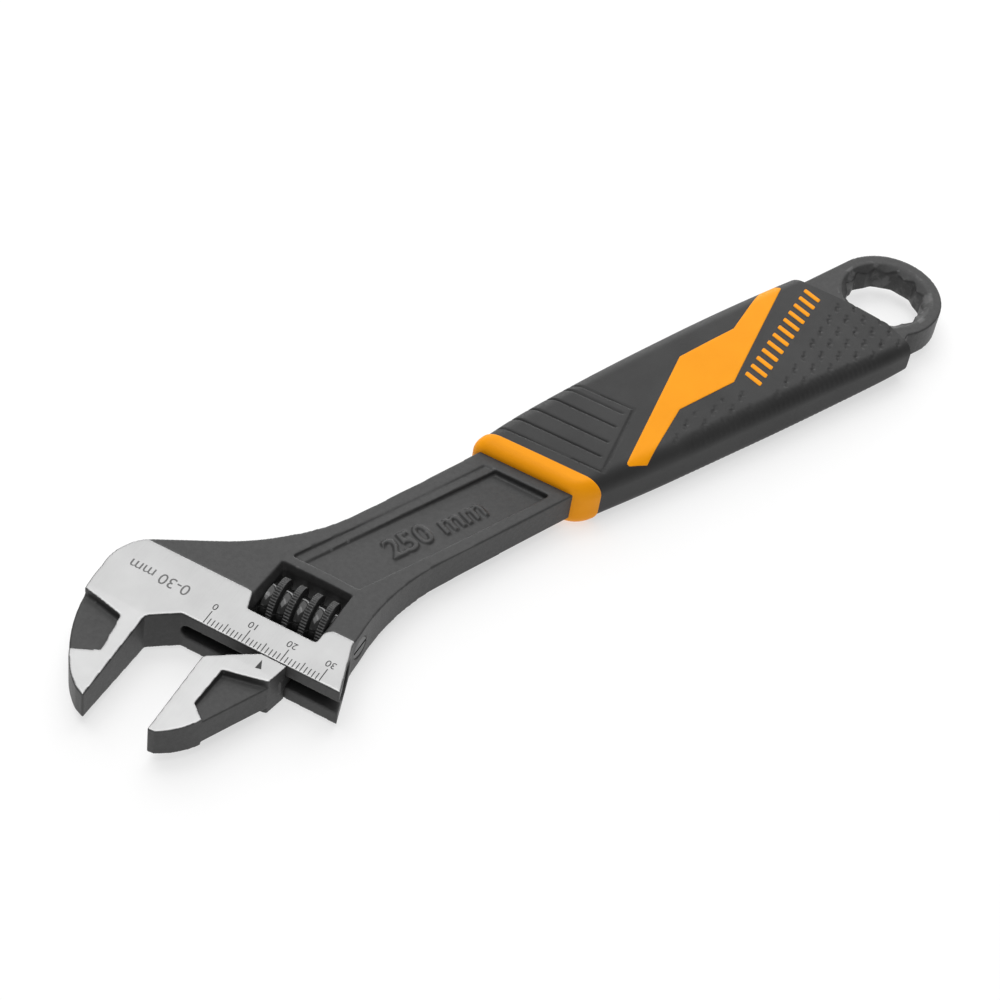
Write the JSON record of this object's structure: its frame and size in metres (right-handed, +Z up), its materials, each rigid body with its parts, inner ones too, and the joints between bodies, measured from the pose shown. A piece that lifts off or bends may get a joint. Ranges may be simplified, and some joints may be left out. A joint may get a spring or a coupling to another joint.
{
  "type": "adjustable wrench",
  "caption": "Adjustable wrench with a worm-driven sliding jaw, a millimetre scale on the head, a two-tone cushioned grip and a multi-point ring end.",
  "frame": {"origin": "centre of the ring-end hole, on the plane the wrench lies on", "axes": "+X along the handle from the ring end to the jaws, +Y towards the moving jaw's side, +Z up through the thickness"},
  "size_m": [0.2582, 0.061, 0.0142],
  "materials": {
    "black_steel": "satin black oxide over a forged skin",
    "ground_steel": "ground bright, fine lengthwise grain",
    "pin_steel": "turned steel",
    "spring_steel": "drawn wire",
    "orange_plastic": "satin moulded plastic",
    "black_rubber": "matte moulded rubber"
  },
  "bodies": {
    "body": {"forged_body": "black_steel", "worm_pin": "pin_steel", "worm_spring": "spring_steel", "grip_core": "orange_plastic", "grip_overmould": "black_rubber"},
    "jaw": {"sliding_jaw": "black_steel"},
    "knurl": {"worm": "black_steel"}
  },
  "joints": [
    {"name": "jaw_slide", "type": "slide", "parent": "body", "child": "jaw", "axis": [-0.4147, 0.91, 0], "range_m": [-0.01655, 0.0134]},
    {"name": "worm_turn", "type": "hinge", "parent": "body", "child": "knurl", "pos_m": [0.19498, -0.0093, 0.0071], "axis": [-0.4147, 0.91, 0], "range_deg": [-1135.6, 1402.4]}
  ],
  "couplings": [
    {"joint": "worm_turn", "follows": "jaw_slide", "rad_per_m": -1478.4}
  ]
}
